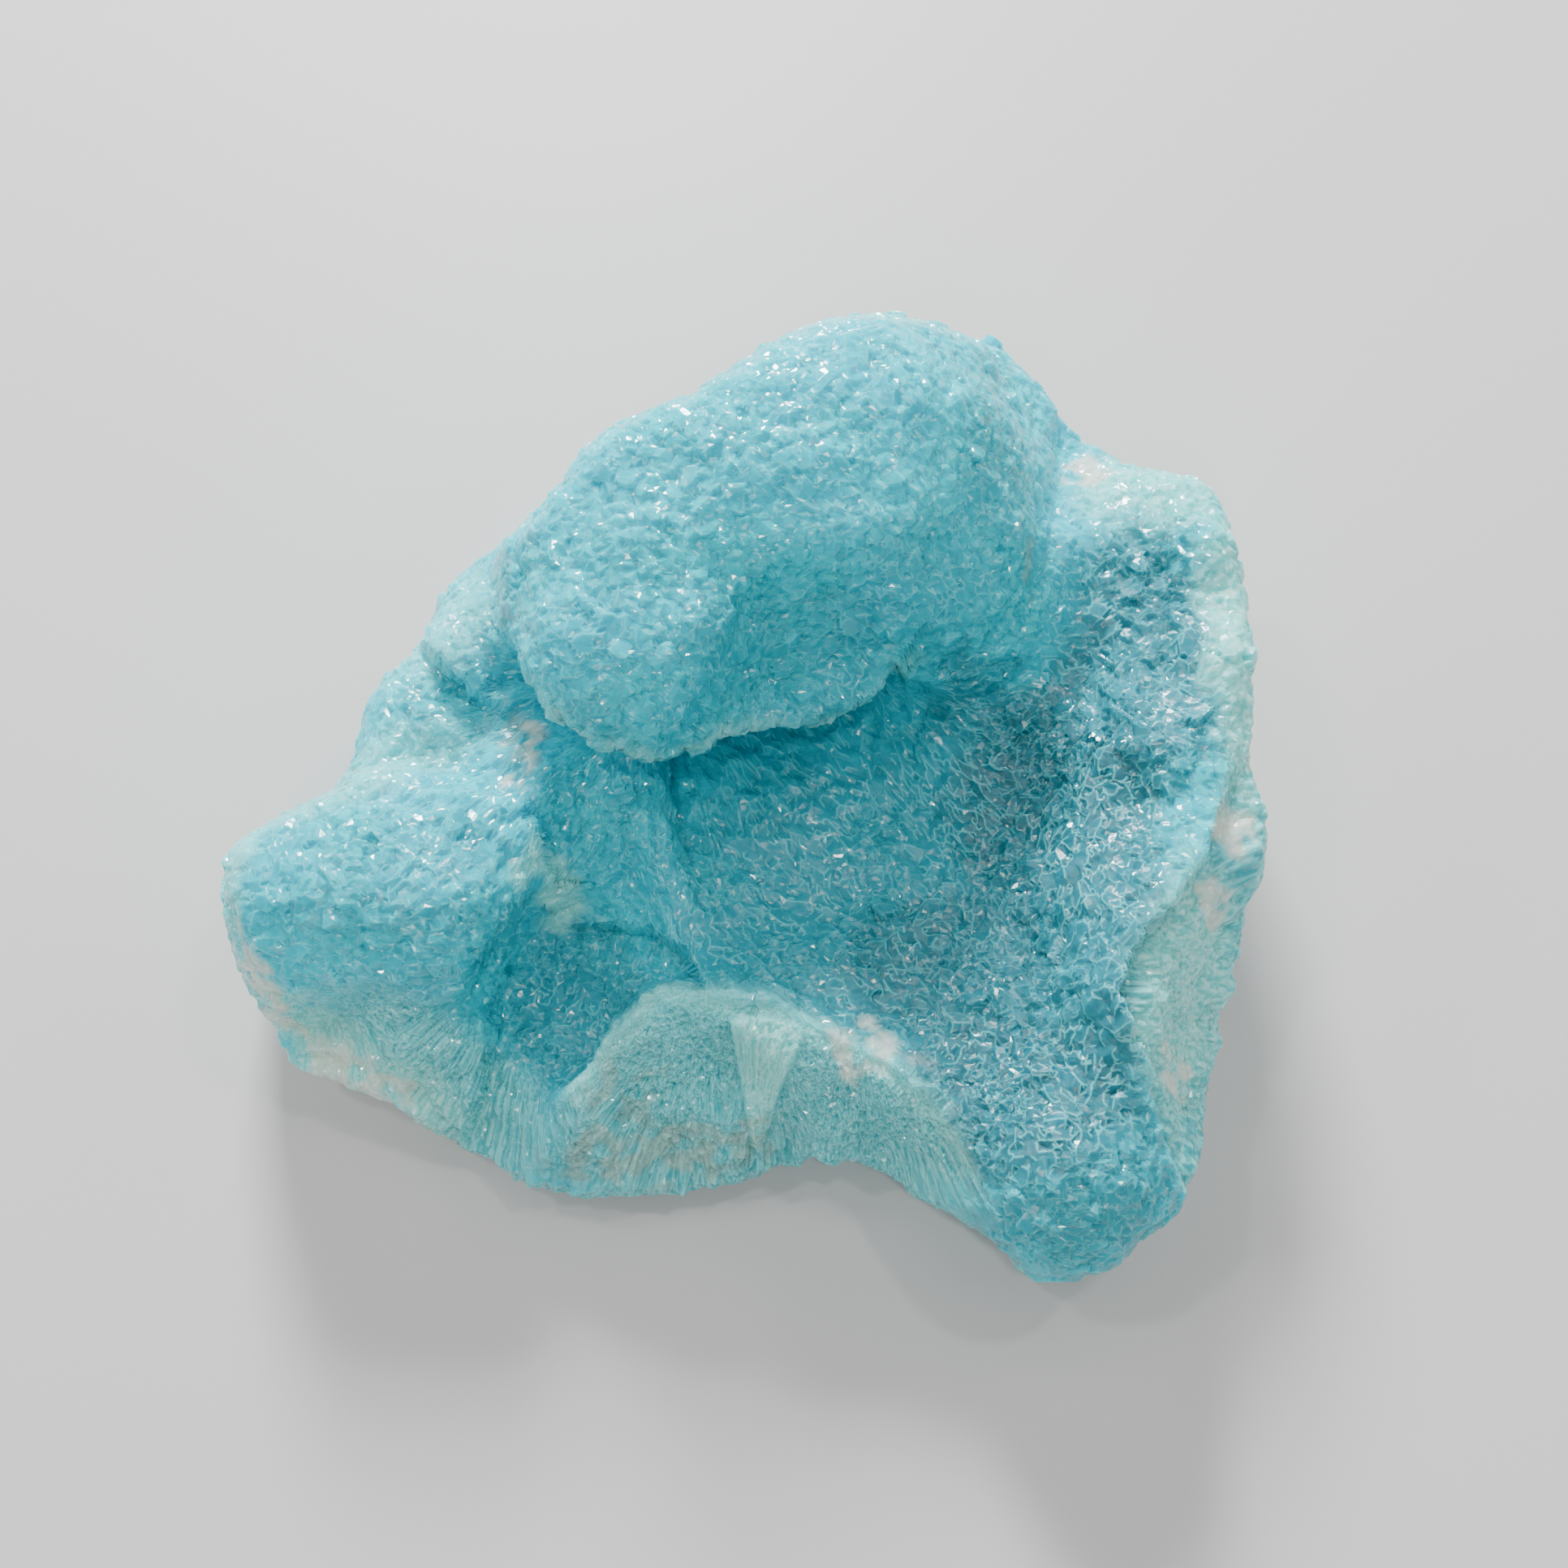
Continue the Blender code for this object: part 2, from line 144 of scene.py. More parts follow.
# Edges that the smoothing took off, and grooves, in millimetres. Each edge: how much the side on
# its left stands up, how much the side on its right falls, how far that reaches, and its line.
EDGES = {
    "lip": (0.4, 1.5, 1.8, [
        (-8.9, 1.9, 15.9), (-7.5, 0.0, 16.2), (-6.4, -0.9, 15.5), (-5.9, -1.3, 15.1),
        (-4.9, -1.2, 15.4), (-3.7, -1.0, 13.9), (-2.9, -0.8, 12.9), (-2.1, -0.5, 13.5),
        (-0.8, 0.2, 13.2), (1.0, 1.1, 12.0), (3.3, 1.5, 11.0), (5.3, 2.1, 10.9), (7.0, 3.0, 11.8),
        (8.0, 4.1, 12.9),
    ]),
    "nose side": (0.3, 0.8, 1.8, [
        (-2.0, -0.4, 13.9), (-1.1, 1.6, 16.7), (-0.4, 3.2, 17.2), (0.7, 5.2, 16.9),
        (1.8, 6.0, 17.5),
    ]),
    "lower left lobe": (0.5, 1.0, 2.0, [
        (-12.9, -16.1, 3.3), (-12.3, -14.8, 4.8), (-11.8, -13.2, 5.6), (-11.9, -11.1, 5.2),
        (-11.7, -9.7, 5.1), (-11.0, -8.0, 7.0), (-9.8, -6.8, 8.0), (-8.6, -6.2, 9.2),
        (-8.6, -5.1, 9.8), (-8.8, -4.1, 10.3), (-9.4, -3.2, 9.9), (-10.2, -2.3, 9.9),
        (-11.6, -2.1, 11.0),
    ]),
    "panel right": (0.2, 0.3, 1.3, [
        (-2.9, -7.4, 8.0), (-3.5, -6.2, 9.3), (-3.8, -4.8, 9.9), (-4.0, -3.2, 9.5),
    ]),
    "pocket top": (0.3, 0.8, 1.5, [
        (-8.8, -6.7, 7.3), (-7.0, -6.8, 7.8), (-5.7, -6.9, 6.9), (-4.1, -7.2, 7.1),
        (-2.5, -8.3, 7.6), (-1.7, -9.8, 8.0),
    ]),
    "right band": (0.3, 0.8, 1.6, [
        (19.9, -18.8, 8.6), (19.2, -17.4, 9.2), (18.8, -15.8, 10.3), (18.5, -14.4, 11.0),
        (17.8, -13.5, 11.6), (17.8, -12.5, 12.0), (17.3, -11.5, 12.3), (17.7, -10.3, 12.2),
        (18.6, -8.8, 12.4), (19.5, -8.2, 12.4), (21.5, -5.5, 12.3), (22.3, -3.1, 12.3),
    ]),
    "foot": (0.2, 0.5, 1.6, [
        (-22.4, -11.3, 6.0), (-20.7, -11.6, 5.0), (-16.9, -10.7, 9.5), (-14.8, -10.4, 10.4),
        (-13.2, -10.2, 10.5),
    ]),
    "foot rim": (0.15, 0.4, 1.2, [
        (-22.1, -12.6, 4.7), (-19.6, -12.9, 4.3), (-17.2, -13.6, 5.7), (-15.1, -14.5, 4.3),
        (-13.6, -16.3, 3.3),
    ]),
    "lower crest": (0.5, -0.3, 0.9, [
        (-7.5, -15.0, 6.5), (-6.5, -14.0, 7.4), (-5.7, -13.1, 8.5), (-4.7, -12.5, 9.1),
        (-4.0, -11.8, 9.7), (-3.8, -11.1, 9.6), (-2.7, -11.0, 9.8), (-1.4, -11.2, 9.7),
        (0.1, -11.5, 9.9), (1.9, -11.6, 9.3), (3.6, -12.5, 9.5), (5.1, -13.4, 9.2),
        (7.0, -14.1, 9.1), (8.2, -15.2, 8.8), (9.7, -16.5, 8.0), (10.8, -18.3, 7.9),
    ]),
    "upper small lobe": (0.6, 0.7, 1.4, [
        (-15.4, 6.2, 10.8), (-14.8, 5.5, 11.0), (-13.6, 4.3, 11.1), (-12.4, 3.3, 10.7),
        (-11.2, 2.8, 10.3), (-10.3, 3.2, 10.2),
    ]),
    "lower small lobe": (-0.45, 0.45, 0.8, [
        (-19.0, -1.2, 10.0), (-18.1, -0.5, 10.3), (-15.1, 0.2, 10.4), (-12.6, -0.3, 10.7),
        (-10.8, -0.6, 10.9),
    ]),
    "small lobe groove": (-0.6, 0.6, 0.7, [
        (-9.6, 7.3, 17.1), (-9.6, 5.0, 16.7), (-10.0, 4.5, 15.9), (-9.5, 3.2, 15.8),
        (-9.0, 1.8, 15.7),
    ]),
    "valley": (-0.5, 0.5, 0.9, [
        (16.5, 16.2, 12.1), (15.2, 12.2, 13.6), (14.7, 9.2, 14.3), (13.9, 6.9, 13.8),
        (11.7, 4.9, 13.4), (9.5, 3.8, 12.2),
    ]),
}


def beside(points, line):
    """How far each point is from a line, and how far to its left (less than 0 on its right)."""
    best = np.full(len(points), 1e9)
    left = np.zeros(len(points))
    line = np.array(line)
    for a, b in zip(line[:-1], line[1:]):
        along = b - a
        t = np.clip((points - a) @ along / (along @ along), 0, 1)
        gap = points - a - t[:, None] * along
        away = np.linalg.norm(gap, axis=1)
        turn = (along[0] * gap[:, 1] - along[1] * gap[:, 0]) / math.hypot(along[0], along[1])
        left = np.where(away < best, turn, left)
        best = np.minimum(best, away)
    return best, left


def in_zone(points, zone, soft=0.25):
    """1 inside an ellipse seen from above, falling to 0 past its edge."""
    x, y, wide, long, turn = zone
    c = math.cos(math.radians(turn))
    s = math.sin(math.radians(turn))
    u = ((points[:, 0] - x) * c + (points[:, 1] - y) * s) / wide
    v = ((points[:, 1] - y) * c - (points[:, 0] - x) * s) / long
    return 1 - ramp(np.hypot(u, v), 1 - soft, 1 + soft)


# The lip overhangs: the wall below it is hollowed back under it, and the floor in front follows.
TUCK = 1.1
TUCK_DEEP = 6.0
# How far out from the lip the floor follows and how far back under it the wall does: none, all.
TUCK_FRONT = (-9.0, -1.5)
TUCK_BACK = (2.6, 4.6)
TUCK_ENDS = (0.5, 4.0)
# The line is cut into short steps, and its direction is softened over a few of them.
TUCK_STEP = 0.5
TUCK_SOFT = 2.0


def tucked(points, line):
    """The points, with those below a line drawn back to its left, more the deeper they lie."""
    line = np.array(line)
    pieces = np.linalg.norm(np.diff(line, axis=0), axis=1)
    steps = np.arange(0, pieces.sum(), TUCK_STEP)
    along = np.concatenate([[0], np.cumsum(pieces)])
    fine = np.stack([np.interp(steps, along, line[:, k]) for k in range(3)], axis=1)
    run = np.gradient(fine[:, :2], axis=0)
    soft = np.exp(-((steps[:, None] - steps[None]) / TUCK_SOFT) ** 2)
    run = unit(soft @ run)
    to_left = np.stack([-run[:, 1], run[:, 0]], axis=1)
    gap = points[:, None, :2] - fine[None, :, :2]
    away = np.hypot(gap[..., 0], gap[..., 1])
    nearness = (away + 0.4) ** -5
    nearness /= nearness.sum(axis=1, keepdims=True)
    way = unit(nearness @ to_left)
    level = nearness @ fine[:, 2]
    middle = nearness @ fine[:, :2]
    left = dots(points[:, :2] - middle, way)
    past_end = np.sqrt(np.maximum(away.min(axis=1) ** 2 - left ** 2, 0))
    share = ramp(left, *TUCK_FRONT) * (1 - ramp(left, *TUCK_BACK)) * (1 - ramp(past_end, *TUCK_ENDS))
    below = np.clip(level - points[:, 2], 0, TUCK_DEEP)
    points = points.copy()
    points[:, :2] += (TUCK * below * share)[:, None] * way
    return points


# Only the middle of the front is near enough to the lip to follow it.
close = np.flatnonzero((np.abs(points[:, 0]) < 20) & (np.abs(points[:, 1]) < 14) & (points[:, 2] > 3))
points[close] = tucked(points[close], EDGES["lip"][3])
for rise, fall, reach, line in EDGES.values():
    away, left = beside(points, line)
    shift = (rise + fall) * ramp(left, -0.2, 0.2) - fall
    points[:, 2] += shift * np.exp(-(away / reach) ** 2)
# The crevice beside the nose is half filled, and the foot of the dome swells out over the dip.
CREVICE = (-10.6, 1.6, 1.6, 3.0, 0)
CREVICE_FLOOR = 10.0
CREVICE_FILL = 0.8
FOOT_OF_DOME = (4.2, 5.0, 4.6, 2.4, 8)
FOOT_SWELL = 1.3
fill = in_zone(points, CREVICE, 0.4) * np.maximum(CREVICE_FLOOR - points[:, 2], 0)
points[:, 2] += CREVICE_FILL * fill * (normals[:, 2] > 0)
points[:, 2] += FOOT_SWELL * in_zone(points, FOOT_OF_DOME, 0.7) * (normals[:, 2] > 0) * (points[:, 2] > 9)
bed.vertices.foreach_set("co", (points * MM).ravel())
bed.update()
points, normals, triangles = arrays(bed)
bed_tree = BVHTree.FromPolygons((points * MM).tolist(), triangles.tolist())
dice = np.random.default_rng(4)


# Where the stone is grown and where it is broken.
# The druse covers the front and rolls over the rim. The foot of the sides, the back, the band
# outside the right wall, the face under the lower ridge and the foot of the lower left lobe are
# broken across their fibres.
# Each broken zone: x, y, half sizes, turn in degrees. A zone named as an edge lies on its right.
BROKEN = {
    "right band": (21.0, -12.5, 4.6, 8.6, -12),
    "right rim": (24.6, -2.0, 1.6, 5.0, 0),
    "lower crest": (1.2, -16.6, 11.0, 5.6, -6),
    "lower left foot": (-14.6, -15.0, 6.2, 3.4, -24),
}


def foot_of_sides(points, normals):
    """1 low on the outer sides and on the back, where nothing of the stone stands opposite."""
    found = np.zeros(len(points))
    low = np.flatnonzero((normals[:, 2] < 0.35) & (points[:, 2] < 8.5))
    level = 5.0 + 2.5 * cloud(points[low], 6.0, 3.3)
    for i, top in zip(low, level):
        n = normals[i]
        flat = Vector((n[0], n[1], min(n[2], 0.0)))
        if flat.length < 1e-3:
            flat = Vector((0, 0, -1))
        hit = bed_tree.ray_cast(Vector((points[i] + n * 0.4) * MM), flat.normalized())[0]
        if hit is None:
            found[i] = 1 - ramp(points[i, 2], top - 0.5, top + 0.5)
    return found


def broken_at(points, normals):
    """How far each point is broken rather than grown, from 0 to 1."""
    found = foot_of_sides(points, normals)
    for name, zone in BROKEN.items():
        share = in_zone(points, zone)
        if name in EDGES:
            _, left = beside(points, EDGES[name][3])
            share *= 1 - ramp(left, -0.3, 0.1)
        found = np.maximum(found, share)
    return found


broken = broken_at(points, normals)


# The druse.
# Thousands of small blunt crystals of hemimorphite, a third of a millimetre wide and up to a whole
# one long, stand side by side: each has one large tilted face and steep sides, and is drawn out
# away from the centre that it grew from.
CRYSTALS = 26000
HALF_WIDTH = 0.17
WIDTH_SPREAD = 0.38
# Length against width, top height in millimetres, and how much the way and the top face vary.
LENGTHS = (1.1, 3.0)
TOPS = (0.0, 0.15)
WAY_SPREAD = 0.35
SLOPE_SPREAD = 0.22
# The sides: how steep each is, how far out it starts, and how much its direction varies.
STEEPNESS = (0.4, 1.2)
SIDE_STARTS = (0.5, 1.2)
SIDE_SPREAD = 0.3
# The deepest gap between crystals, in millimetres.
LOWEST = -0.12
GROWTH = np.array([
    (3.0, 13.0, 8.0), (-5.0, 6.0, 8.0), (-13.0, 6.0, 3.0), (-16.0, -5.0, 2.0), (-6.5, -2.5, 2.0),
    (4.0, -2.0, -6.0), (14.0, -17.0, 2.0), (26.0, 6.0, 2.0), (-8.0, -11.0, 0.0),
])
NEAR = 8
SIDES = 5


def from_growth(points):
    """The way from the nearest growth centre to each point."""
    gap = points[:, None] - GROWTH[None]
    nearest = np.linalg.norm(gap, axis=2).argmin(axis=1)
    return gap[np.arange(len(points)), nearest]


weight = 1.05 - broken
seeds = dice.choice(len(points), CRYSTALS, replace=False, p=weight / weight.sum())
seed_points = points[seeds]
seed_normals = normals[seeds]
seed_way = from_growth(seed_points)
seed_way = unit(seed_way) + dice.normal(size=seed_way.shape) * WAY_SPREAD
seed_way = unit(seed_way - seed_normals * dots(seed_way, seed_normals)[:, None])
seed_side = np.cross(seed_normals, seed_way)
width = HALF_WIDTH * np.exp(dice.normal(size=CRYSTALS) * WIDTH_SPREAD)
length = width * dice.uniform(*LENGTHS, CRYSTALS)
top = dice.uniform(*TOPS, CRYSTALS) + 0.4 * (width - HALF_WIDTH)
slope = dice.normal(size=(CRYSTALS, 2)) * SLOPE_SPREAD
turn = dice.uniform(0, 2 * math.pi, CRYSTALS)
side_angle = turn[:, None] + np.arange(SIDES) * 2 * math.pi / SIDES
side_angle = side_angle + dice.normal(size=(CRYSTALS, SIDES)) * SIDE_SPREAD
side_steep = dice.uniform(*STEEPNESS, (CRYSTALS, SIDES))
side_reach = dice.uniform(*SIDE_STARTS, (CRYSTALS, SIDES))

# Crystals stand larger along the lip, and a little larger where the stone turns to its sides.
lip_away, _ = beside(seed_points, EDGES["lip"][3])
proud = 1 + 0.9 * np.exp(-(lip_away / 1.0) ** 2) + 0.4 * ramp(0.75 - seed_normals[:, 2], 0, 0.6)
width *= proud
length *= proud
top *= proud
seed_tree = KDTree(CRYSTALS)
for i, p in enumerate(seed_points):
    seed_tree.insert(p, i)
seed_tree.balance()


def crystals_at(points, normals):
    """At each point, how high the tallest crystal there stands, which one it is and which face."""
    near = np.array([[hit[1] for hit in seed_tree.find_n(p, NEAR)] for p in points])
    gap = points[:, None] - seed_points[near]
    u = dots(gap, seed_way[near])
    v = dots(gap, seed_side[near])
    apart = dots(seed_normals[near], normals[:, None]) < 0.3
    best = top[near] + u * slope[near, 0] + v * slope[near, 1]
    face = np.zeros(best.shape, int)
    for k in range(SIDES):
        angle = side_angle[near, k]
        out = u / length[near] * np.cos(angle) + v / width[near] * np.sin(angle)
        side = top[near] + side_steep[near, k] * (side_reach[near, k] - out) * width[near]
        face = np.where(side < best, k + 1, face)
        best = np.minimum(best, side)
    best = np.where(apart, -1.0, best)
    which = best.argmax(axis=1)
    rows = np.arange(len(points))
    return best[rows, which], near[rows, which], face[rows, which]


height, _, _ = crystals_at(points, normals)
height = np.maximum(height, LOWEST)

# The breaks: fibres that fan out from a few centres, as ridges and grooves over shallow steps.
FANS = np.array([
    (-1.5, -10.0, 8.0), (1.3, -10.5, 9.0), (6.0, -10.0, 8.0), (-9.5, -8.0, 8.0), (-20.0, -6.0, 7.0),
    (8.0, -9.0, 4.0), (10.0, 2.0, 0.0),
])


# One pale fan on the face under the lower crest opens upward from a point near the foot.
PALE_FAN = np.array([0.9, -17.6, 3.2])
PALE_FAN_LONG = 5.6
PALE_FAN_MIDDLE = math.radians(81)
PALE_FAN_HALF = math.radians(19)
PALE_FAN_RISE = 0.35


def in_pale_fan(points):
    """1 inside the pale fan, 0 outside it."""
    gap = points - PALE_FAN
    turn = np.abs(np.arctan2(gap[:, 1], gap[:, 0]) - PALE_FAN_MIDDLE)
    far = np.hypot(gap[:, 0], gap[:, 1])
    past_side = ramp(turn, PALE_FAN_HALF * 0.93, PALE_FAN_HALF * 1.07)
    past_top = ramp(far, PALE_FAN_LONG - 0.3, PALE_FAN_LONG)
    return (1 - past_side) * (1 - past_top)


def fan_way(points):
    """The unit way to each point from the nearest centre of a fan of fibres."""
    gap = points[:, None] - FANS[None]
    nearest = np.linalg.norm(gap, axis=2).argmin(axis=1)
    way = gap[np.arange(len(points)), nearest]
    pale = in_pale_fan(points) > 0.5
    way[pale] = points[pale] - PALE_FAN
    return unit(way)


FINE_FIBRE = 1 / 50.0
BROAD_FIBRE = 1 / 17.0
torn = np.flatnonzero(broken > 0.01)
spots = points[torn]
way = fan_way(spots)
fibres = 0.16 * cloud(way, FINE_FIBRE, 1.7) + 0.18 * cloud(way, BROAD_FIBRE, 5.1)
rough = 0.20 * cloud(spots, 1.8, 2.2) + 0.08 * cloud(spots, 0.6, 6.2)
fibres += rough + PALE_FAN_RISE * in_pale_fan(spots)
# The back is smoother than the sides.
on_back = ramp(-normals[torn, 2], 0.3, 0.7)
raised = height * (1 - broken)
raised[torn] += fibres * broken[torn] * (1 - 0.7 * on_back)
points = points + normals * raised[:, None]
low = np.array(cad_box[0]) / MM
high = np.array(cad_box[1]) / MM
points = np.clip(points, low, high)

# Thinned to flat faces that meet in sharp edges.
FACES = 190000
bed.vertices.foreach_set("co", (points * MM).ravel())
rough_object = bpy.data.objects.new("rough stone", bed)
bpy.context.scene.collection.objects.link(rough_object)
thin = rough_object.modifiers.new("thin", "DECIMATE")
thin.ratio = FACES / len(triangles)
stone_mesh = evaluated(rough_object)
stone_mesh.name = "hemimorphite stone"
stone_mesh.shade_flat()
stone = bpy.data.objects.new("hemimorphite_stone", stone_mesh)
bpy.context.scene.collection.objects.link(stone)
points, normals, triangles = arrays(stone_mesh)
points = np.clip(points, low, high)
stone_mesh.vertices.foreach_set("co", (points * MM).ravel())


def keep(name, domain, values):
    """Stores numbers on the stone's vertices, corners or faces, for its material."""
    values = np.asarray(values, np.float32)
    if values.ndim == 1:
        stone_mesh.attributes.new(name, "FLOAT", domain).data.foreach_set("value", values)
    else:
        stone_mesh.attributes.new(name, "FLOAT_VECTOR", domain).data.foreach_set("vector", values.ravel())


# Sharp edges: at each corner, how far it is from the sharp edge opposite, in millimetres.
polygons = np.empty(len(stone_mesh.polygons) * 3, int)
stone_mesh.polygons.foreach_get("vertices", polygons)
polygons = polygons.reshape(-1, 3)
corner_points = points[polygons]
edge_a = corner_points[:, 1] - corner_points[:, 0]
edge_b = corner_points[:, 2] - corner_points[:, 0]
across = np.cross(edge_a, edge_b)
face_normals = unit(across)
twice_area = np.linalg.norm(across, axis=1)
face_middle = corner_points.mean(axis=1)
count = len(polygons)
starts = np.concatenate([polygons[:, k] for k in range(3)])
ends = np.concatenate([polygons[:, (k + 1) % 3] for k in range(3)])
owner = np.tile(np.arange(count), 3)
forward = starts.astype(np.int64) * len(points) + ends
backward = ends.astype(np.int64) * len(points) + starts
order = np.argsort(forward)
partner = order[np.searchsorted(forward[order], backward)]
other = owner[partner]
bend = np.arccos(np.clip(dots(face_normals[owner], face_normals[other]), -1, 1))
outward = dots(face_middle[other] - face_middle[owner], face_normals[owner]) < 0
edge_long = np.linalg.norm(points[ends] - points[starts], axis=1)
altitude = twice_area[owner] / np.maximum(edge_long, 1e-9)
FAR = 9.0
SHARP = math.radians(22)
sharp = bend > SHARP
for name, chosen in (("ridge", outward & sharp), ("groove", ~outward & sharp)):
    reach = np.full((count, 3, 3), FAR)
    for k in range(3):
        part = slice(k * count, (k + 1) * count)
        drawn = chosen[part]
        opposite = (k + 2) % 3
        reach[drawn, :, k] = 0.0
        reach[drawn, opposite, k] = altitude[part][drawn]
    keep(name, "CORNER", reach.reshape(-1, 3))

_, crystal_number, face_number = crystals_at(face_middle, normals[polygons[:, 0]])
shade = dice.random((CRYSTALS, SIDES + 1))
keep("tone", "FACE", shade[crystal_number, face_number])
gleam = dice.random((CRYSTALS, SIDES + 1))
keep("gleam", "FACE", gleam[crystal_number, face_number])
keep("broken", "POINT", broken_at(points, normals))

# Tints: deep water-blue in the hollows, partly the stone's own deeper colour and partly painted shade,
# with a painted shadow under the lip and painted shade on the far side that faces the soft box; pale
# where the crust thins to an edge, partly its own pale crust and partly a painted glow of light
# shining through; cream and rusty crusts on the breaks. Each spot: x, y, half sizes, turn in degrees,
# strength.
TINTS = {
    "deep_and_shade": [
        (8.1, -6.1, 12.0, 9.0, 0, 0.85), (10.5, -9.5, 6.5, 4.5, 0, 1.35),
        (15.0, -2.0, 5.2, 6.0, 0, 1.6), (3.4, 3.2, 5.8, 2.6, 8, 0.4), (9.5, 5.0, 3.4, 3.2, 0, 0.35),
        (1.7, -0.6, 7.4, 2.0, 8, 0.25), (-7.7, -10.6, 4.0, 4.6, 0, 0.8),
        (13.4, 7.0, 2.2, 5.8, 15, 0.3), (-6.5, -3.0, 2.5, 4.0, 0, 0.35),
        (15.4, -19.0, 4.6, 4.4, 0, 0.75), (13.0, -15.2, 5.2, 4.4, -20, 1.6),
        (-13.5, -11.8, 3.6, 1.6, -10, 0.3), (-10.3, 0.8, 1.2, 2.6, 0, 0.5),
        (16.6, -10.5, 3.4, 6.0, -10, 1.2), (12.6, 11.0, 2.0, 5.0, 10, 0.3),
        (19.2, 4.2, 4.0, 6.6, 0, 1.05), (-13.4, 2.6, 3.0, 2.6, 0, 0.4),
        (-14.7, -6.3, 5.0, 3.6, 0, 0.4), (-18.5, -4.0, 5.5, 4.5, 0, 0.25),
        (-12.0, 6.1, 2.4, 2.2, 0, 0.5), (-4.9, 4.8, 4.0, 4.0, 0, 0.15),
        (11.5, 2.8, 2.6, 2.0, 0, 0.9),
    ],
    "pale": [
        (24.0, 5.2, 1.8, 8.0, 0, 1.0), (20.8, -10.9, 2.6, 5.0, -8, 0.8),
        (20.9, 13.5, 4.0, 2.8, 0, 0.8), (-18.2, -13.6, 6.0, 1.5, -28, 1.0),
        (-18.5, -1.0, 6.0, 1.6, 25, 0.5), (-23.4, -5.0, 1.4, 5.0, 0, 0.6),
        (-8.4, -5.6, 1.0, 1.6, 30, 0.9), (5.0, 19.5, 6.0, 1.6, 0, 0.5),
        (-14.5, 7.0, 2.4, 3.4, -40, 0.4),
    ],
    "cream": [
        (23.2, -3.7, 0.8, 1.3, 0, 0.9), (21.9, -6.7, 0.8, 0.9, 0, 0.8),
        (20.3, -14.5, 1.2, 0.8, 0, 0.8), (17.4, 14.9, 1.8, 1.0, -15, 0.9),
        (6.2, -13.3, 2.6, 1.0, -25, 0.7), (-21.8, -10.5, 0.8, 2.6, 25, 0.8),
        (-18.5, -13.8, 3.0, 1.0, -20, 0.8), (-9.9, 1.5, 0.5, 0.5, 0, 0.8),
        (-9.9, 0.2, 0.5, 0.6, 0, 0.8), (-10.2, -1.0, 0.5, 0.5, 0, 0.8),
    ],
    "iron": [
        (-3.1, -17.6, 6.0, 1.4, 4, 0.7), (-5.4, -15.4, 2.2, 1.4, 0, 0.5),
        (13.9, 8.9, 0.5, 2.2, 8, 0.6), (-10.6, 1.2, 0.7, 1.8, 0, 0.6),
    ],
}
ragged = points.copy()
ragged[:, 0] += 0.9 * cloud(points, 2.2, 11.0) + 0.5 * cloud(points, 0.8, 12.0)
ragged[:, 1] += 0.9 * cloud(points, 2.2, 13.0) + 0.5 * cloud(points, 0.8, 14.0)
crumbs = cloud(points, 0.9, 17.0)
for name, spots in TINTS.items():
    tint = np.zeros(len(points))
    for *zone, strength in spots:
        tint = np.maximum(tint, strength * in_zone(ragged, zone, 0.4))
    if name in ("cream", "iron"):
        tint *= ramp(tint + 0.9 * crumbs, 0.35, 0.75)
    if name == "deep_and_shade":
        # The side that faces the soft box gets painted shade.
        soft_box_side_shade = ramp(normals[:, 1], 0.6, 0.9)
        tint = np.maximum(tint, 0.7 * soft_box_side_shade)
    if name == "pale":
        tint = np.maximum(tint, in_pale_fan(points))
        # Painted glow: along the lip and the lower crest the thin edge is painted paler, as if lit
        # through.
        for edge, wide in (("lip", 0.7), ("lower crest", 0.6)):
            away, _ = beside(points, EDGES[edge][3])
            tint = np.maximum(tint, 0.8 * np.exp(-(away / wide) ** 2))
    keep(name, "POINT", tint)
keep("fan", "POINT", fan_way(points))

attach(stone, "root")
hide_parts("hemimorphite")


def shader_of(material):
    """The material's Principled shader, with nodes switched on."""
    material.use_nodes = True
    return material.node_tree.nodes["Principled BSDF"]


# What the crystals look like: clear aqua zinc silicate with a milky heart. Light sinks about a
# millimetre into it. Small flat facets tilt every way, and their sharp edges carry pale lines painted
# as highlights.
crystal = bpy.data.materials.new("hemimorphite crystal")
shader = shader_of(crystal)
nodes = crystal.node_tree.nodes
links = crystal.node_tree.links


def node(kind, **values):
    """A new node of this kind: a socket's value or the socket that feeds it, or a setting."""
    made = nodes.new("ShaderNode" + kind)
    for name, value in values.items():
        if hasattr(made, name):
            setattr(made, name, value)
    for name, value in values.items():
        if hasattr(made, name):
            continue
        socket = made.inputs[int(name[1:])] if name[0] == "i" and name[1:].isdigit() else made.inputs[name]
        if isinstance(value, bpy.types.NodeSocket):
            links.new(value, socket)
        else:
            socket.default_value = value
    return made


def maths(work, a, b=0.0, c=0.0):
    """One sum on numbers."""
    return node("Math", operation=work, i0=a, i1=b, i2=c).outputs[0]


def vectors(work, a, b=(0, 0, 0)):
    """One sum on vectors."""
    return node("VectorMath", operation=work, i0=a, i1=b).outputs[0]


def mixed(share, a, b):
    """Colour a, giving way to colour b."""
    made = node("Mix", data_type="RGBA", clamp_factor=True)
    for index, value in ((0, share), (6, a), (7, b)):
        if isinstance(value, bpy.types.NodeSocket):
            links.new(value, made.inputs[index])
        elif index == 0:
            made.inputs[index].default_value = value
        else:
            made.inputs[index].default_value = (*value, 1)
    return made.outputs[2]


def spread(value, low, high, to_low=0.0, to_high=1.0):
    """The value between low and high, put between the two others."""
    made = node("MapRange", clamp=True, interpolation_type="LINEAR", Value=value)
    for name, number in (("From Min", low), ("From Max", high), ("To Min", to_low), ("To Max", to_high)):
        made.inputs[name].default_value = number
    return made.outputs[0]


def kept(name):
    """A number stored on the mesh."""
    return node("Attribute", attribute_name=name).outputs["Fac"]


place = node("TexCoord").outputs["Object"]
tone = kept("tone")
deep_and_shade = kept("deep_and_shade")


